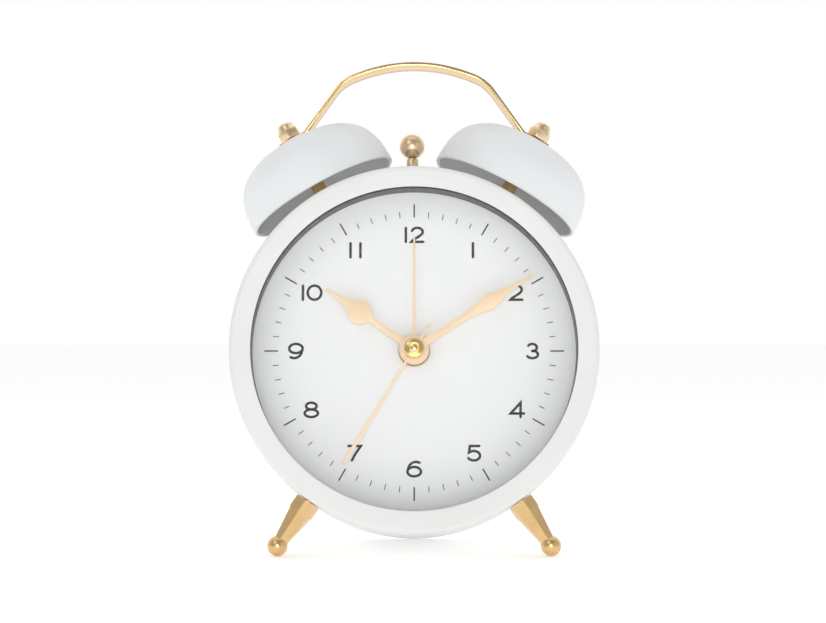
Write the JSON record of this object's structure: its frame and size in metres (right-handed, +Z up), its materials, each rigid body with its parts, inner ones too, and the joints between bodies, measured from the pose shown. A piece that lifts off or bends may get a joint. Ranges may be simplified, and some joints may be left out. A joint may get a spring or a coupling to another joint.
{
  "type": "twin-bell alarm clock",
  "caption": "Round desk alarm clock with bells, hammer and strap handle on top, hands behind glass, ball-ended front legs, and knobs, switch and battery door at the back.",
  "frame": {"origin": "on the table, at the middle of the clock's width and depth", "axes": "+X to the reader's right, +Y from the dial towards the back, +Z up; the dial faces -Y and leans back"},
  "size_m": [0.1048, 0.0674, 0.1428],
  "materials": {
    "white_enamel": "satin white enamel on sheet steel",
    "bell_enamel": "satin white enamel on spun steel",
    "white_plastic": "fine matt moulded ABS",
    "dial_card": "matt white printed dial",
    "clear_glass": "clear, polished",
    "dark_plastic": "dark, glossy",
    "grey_plastic": "matt moulded",
    "brushed_gold": "brushed, gold coloured",
    "polished_gold": "polished, gold coloured",
    "hand_paint": "matt pale gold",
    "plated_steel": "zinc plated",
    "brass": "turned",
    "copper_wire": "enamelled copper winding",
    "nickel_plate": "nickel plated",
    "nylon": "natural moulded nylon",
    "circuit_board": "green solder mask",
    "battery_wrap": "plain printed sleeve, no wording",
    "fibre_washer": "matt black fibre"
  },
  "bodies": {
    "case": {"case_drum": "white_enamel", "bezel_ring": "white_enamel", "front_glass": "clear_glass", "reveal_ring": "dark_plastic", "dial_plate": "dial_card", "inner_frame": "grey_plastic", "back_cover": "white_plastic", "back_cover_screw_1": "plated_steel", "back_cover_screw_2": "plated_steel", "back_cover_screw_3": "plated_steel", "leg_left": "brushed_gold", "leg_right": "brushed_gold", "bell_left": "bell_enamel", "bell_right": "bell_enamel", "bell_post_left": "brushed_gold", "bell_post_right": "brushed_gold", "post_nut_left": "plated_steel", "post_nut_right": "plated_steel", "bell_washer_left": "fibre_washer", "bell_washer_right": "fibre_washer", "finial_nut_left": "polished_gold", "finial_nut_right": "polished_gold", "carry_handle": "brushed_gold", "strike_actuator": "plated_steel", "actuator_bracket": "plated_steel", "movement_housing": "grey_plastic", "movement_lid": "grey_plastic", "dial_nut": "polished_gold", "circuit_board": "circuit_board", "quartz_crystal": "nickel_plate", "driver_chip": "dark_plastic", "motor_stator": "plated_steel", "motor_coil": "copper_wire", "switch_body": "nickel_plate", "battery_tray": "grey_plastic", "battery_cell": "battery_wrap", "contact_spring": "nickel_plate", "contact_plate": "nickel_plate"},
    "alarm": {"alarm_hand": "hand_paint", "alarm_wheel": "nylon"},
    "alarm_setting": {"alarm_set_shaft": "nylon", "alarm_set_knob": "white_plastic"},
    "hour": {"hour_hand": "hand_paint", "hour_wheel": "nylon"},
    "minute": {"minute_hand": "hand_paint", "cannon_pinion": "brass"},
    "motion": {"motion_wheel": "nylon"},
    "time_setting": {"time_set_shaft": "nylon", "time_set_knob": "white_plastic"},
    "second": {"second_hand": "hand_paint", "second_wheel": "nylon", "hub_cap": "polished_gold"},
    "step": {"step_wheel": "nylon"},
    "rotor": {"motor_rotor": "plated_steel"},
    "hammer": {"hammer_arm": "brushed_gold", "hammer_ball": "polished_gold", "hammer_shaft": "plated_steel"},
    "switch": {"alarm_switch": "dark_plastic"},
    "door": {"battery_door": "white_plastic"}
  },
  "joints": [
    {"name": "minute_turn", "type": "hinge", "parent": "case", "child": "minute", "pos_m": [0, -0.01682, 0.05714], "axis": [0, 0.9874, -0.1579], "continuous": true},
    {"name": "hour_turn", "type": "hinge", "parent": "case", "child": "hour", "pos_m": [0, -0.01682, 0.05714], "axis": [0, 0.9874, -0.1579], "continuous": true},
    {"name": "motion_turn", "type": "hinge", "parent": "case", "child": "motion", "pos_m": [-0.0103, -0.01585, 0.06323], "axis": [0, 0.9874, -0.1579], "continuous": true},
    {"name": "time_set_turn", "type": "hinge", "parent": "case", "child": "time_setting", "pos_m": [-0.0177, -0.01734, 0.05391], "axis": [0, 0.9874, -0.1579], "continuous": true},
    {"name": "second_turn", "type": "hinge", "parent": "case", "child": "second", "pos_m": [0, -0.01682, 0.05714], "axis": [0, 0.9874, -0.1579], "continuous": true},
    {"name": "step_turn", "type": "hinge", "parent": "case", "child": "step", "pos_m": [0.00646, -0.01813, 0.04897], "axis": [0, 0.9874, -0.1579], "continuous": true},
    {"name": "rotor_turn", "type": "hinge", "parent": "case", "child": "rotor", "pos_m": [0.01342, -0.01842, 0.04713], "axis": [0, 0.9874, -0.1579], "continuous": true},
    {"name": "alarm_turn", "type": "hinge", "parent": "case", "child": "alarm", "pos_m": [0, -0.01682, 0.05714], "axis": [0, 0.9874, -0.1579], "continuous": true},
    {"name": "alarm_set_turn", "type": "hinge", "parent": "case", "child": "alarm_setting", "pos_m": [0.0177, -0.01734, 0.05391], "axis": [0, 0.9874, -0.1579], "continuous": true},
    {"name": "hammer_swing", "type": "hinge", "parent": "case", "child": "hammer", "pos_m": [0, 0.00549, 0.08902], "axis": [0, 0.9874, -0.1579], "range_deg": [-3.65, 6.05], "stiffness_Nm_per_rad": 0.01},
    {"name": "alarm_switch_slide", "type": "slide", "parent": "case", "child": "switch", "axis": [1, 0, 0], "range_m": [0, 0.004]},
    {"name": "battery_door_hinge", "type": "hinge", "parent": "case", "child": "door", "pos_m": [0, 0.01923, 0.01786], "axis": [-1, 0, 0], "range_deg": [0, 100]}
  ],
  "couplings": [
    {"joint": "hour_turn", "follows": "minute_turn", "ratio": 0.083333},
    {"joint": "motion_turn", "follows": "minute_turn", "ratio": -0.33333},
    {"joint": "time_set_turn", "follows": "minute_turn", "ratio": 1},
    {"joint": "step_turn", "follows": "second_turn", "ratio": -6},
    {"joint": "rotor_turn", "follows": "second_turn", "ratio": 30},
    {"joint": "alarm_set_turn", "follows": "alarm_turn", "ratio": -1.25}
  ]
}
